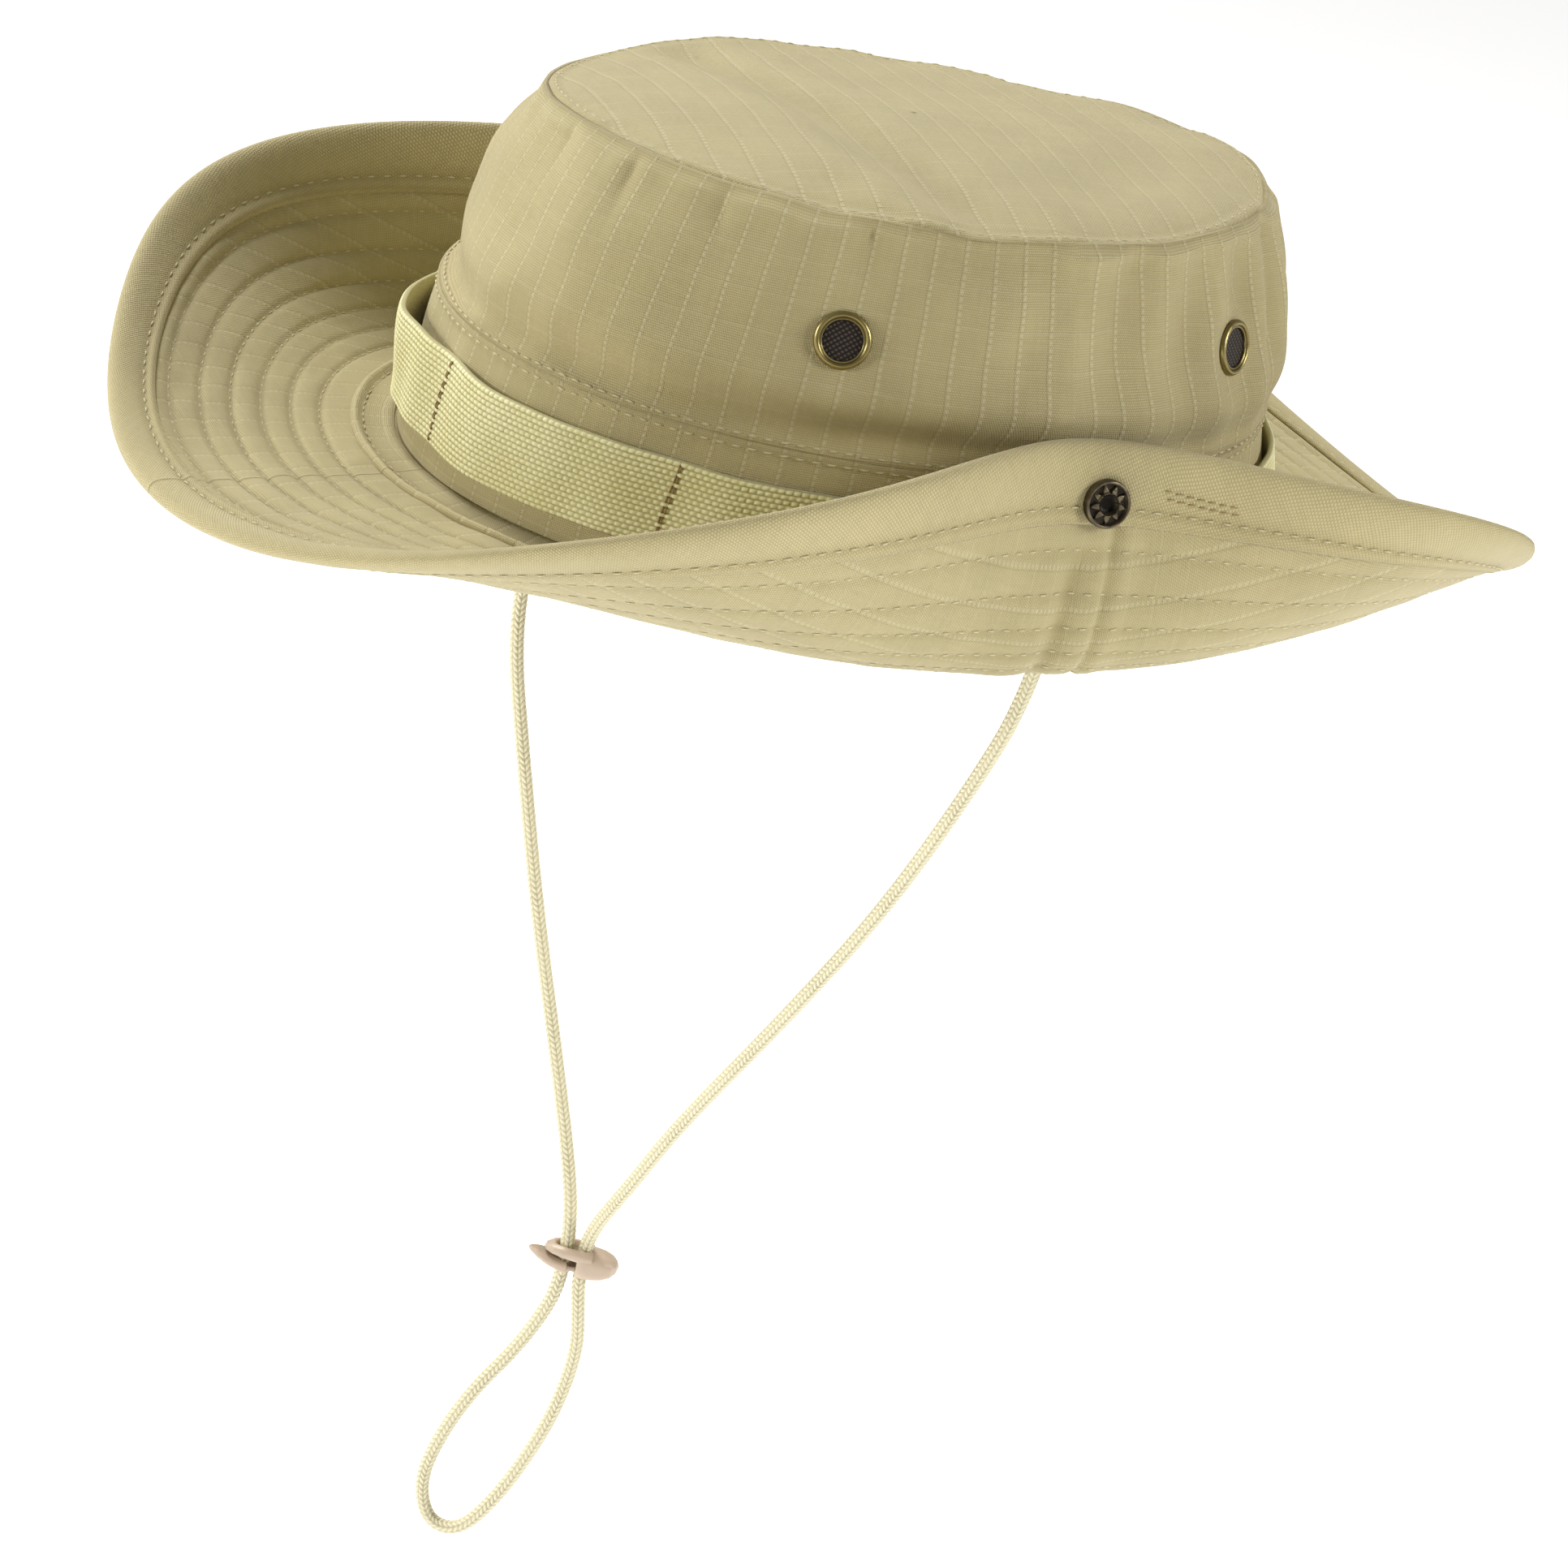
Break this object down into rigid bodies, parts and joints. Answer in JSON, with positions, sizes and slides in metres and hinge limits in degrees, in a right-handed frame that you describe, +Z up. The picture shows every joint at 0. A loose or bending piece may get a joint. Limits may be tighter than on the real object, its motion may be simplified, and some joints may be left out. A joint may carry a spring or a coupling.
{
  "type": "boonie hat",
  "caption": "Rip-stop boonie hat with a flat-topped vented crown, webbing band, stitched brim snapped up at the sides, and a chin cord with a sliding cord lock.",
  "frame": {"origin": "middle of the head opening, in the plane where the crown meets the brim", "axes": "+Z up out of the crown, -Y the way the wearer looks, +X the wearer's left"},
  "size_m": [0.2302, 0.3252, 0.4039],
  "materials": {
    "ripstop": "matt khaki rip-stop cotton",
    "tape": "matt khaki twill tape and lining",
    "webbing": "coarse plain-woven cotton webbing",
    "cord": "braided matt nylon",
    "eyelet_brass": "antique brass",
    "vent_mesh": "dark brown woven mesh",
    "snap_bronze": "dark oxidised bronze",
    "lock_plastic": "moulded beige plastic",
    "spring_steel": "wire"
  },
  "bodies": {
    "crown": {"brim_back_binding": "tape", "brim_back_collar": "ripstop", "brim_back_under_ply": "ripstop", "brim_back_upper_ply": "ripstop", "brim_front_binding": "tape", "brim_front_collar": "ripstop", "brim_front_under_ply": "ripstop", "brim_front_upper_ply": "ripstop", "cord_tab_left": "tape", "cord_tab_right": "tape", "crown_lower_band": "ripstop", "crown_side_panel": "ripstop", "crown_top": "ripstop", "snap_left_rivet": "snap_bronze", "snap_left_stud": "snap_bronze", "snap_right_rivet": "snap_bronze", "snap_right_stud": "snap_bronze", "sweatband": "tape", "vent_1_eyelet": "eyelet_brass", "vent_1_mesh": "vent_mesh", "vent_1_washer": "eyelet_brass", "vent_2_eyelet": "eyelet_brass", "vent_2_mesh": "vent_mesh", "vent_2_washer": "eyelet_brass", "vent_3_eyelet": "eyelet_brass", "vent_3_mesh": "vent_mesh", "vent_3_washer": "eyelet_brass", "vent_4_eyelet": "eyelet_brass", "vent_4_mesh": "vent_mesh", "vent_4_washer": "eyelet_brass", "webbing_band": "webbing"},
    "brim_left": {"brim_left_upper_ply": "ripstop", "brim_left_under_ply": "ripstop", "brim_left_binding": "tape", "snap_left_prong_ring": "snap_bronze", "snap_left_socket": "snap_bronze"},
    "brim_right": {"brim_right_upper_ply": "ripstop", "brim_right_under_ply": "ripstop", "brim_right_binding": "tape", "snap_right_prong_ring": "snap_bronze", "snap_right_socket": "snap_bronze"},
    "chin_cord": {"chin_cord": "cord"},
    "cord_lock": {"cord_lock_body": "lock_plastic", "cord_lock_spring": "spring_steel"},
    "cord_lock_button": {"cord_lock_button": "lock_plastic"}
  },
  "joints": [
    {"name": "fold_left", "type": "hinge", "parent": "crown", "child": "brim_left", "pos_m": [0.09, 0, -0.008], "axis": [0, 1, 0], "range_deg": [0, 60]},
    {"name": "fold_right", "type": "hinge", "parent": "crown", "child": "brim_right", "pos_m": [-0.09, 0, -0.008], "axis": [0, -1, 0], "range_deg": [0, 60]},
    {"name": "cord_swing", "type": "hinge", "parent": "crown", "child": "chin_cord", "pos_m": [0, -0.001, -0.001], "axis": [0.9865, 0.164, 0], "range_deg": [-60, 60]},
    {"name": "lock_slide", "type": "slide", "parent": "chin_cord", "child": "cord_lock", "axis": [0, 0, 1], "range_m": [-0.03, 0.05], "deforming": ["chin_cord"]},
    {"name": "button_press", "type": "slide", "parent": "cord_lock", "child": "cord_lock_button", "axis": [0.5201, 0.8541, 0], "range_m": [0, 0.002], "stiffness_N_per_m": 900, "deforming": ["cord_lock_spring"]}
  ]
}
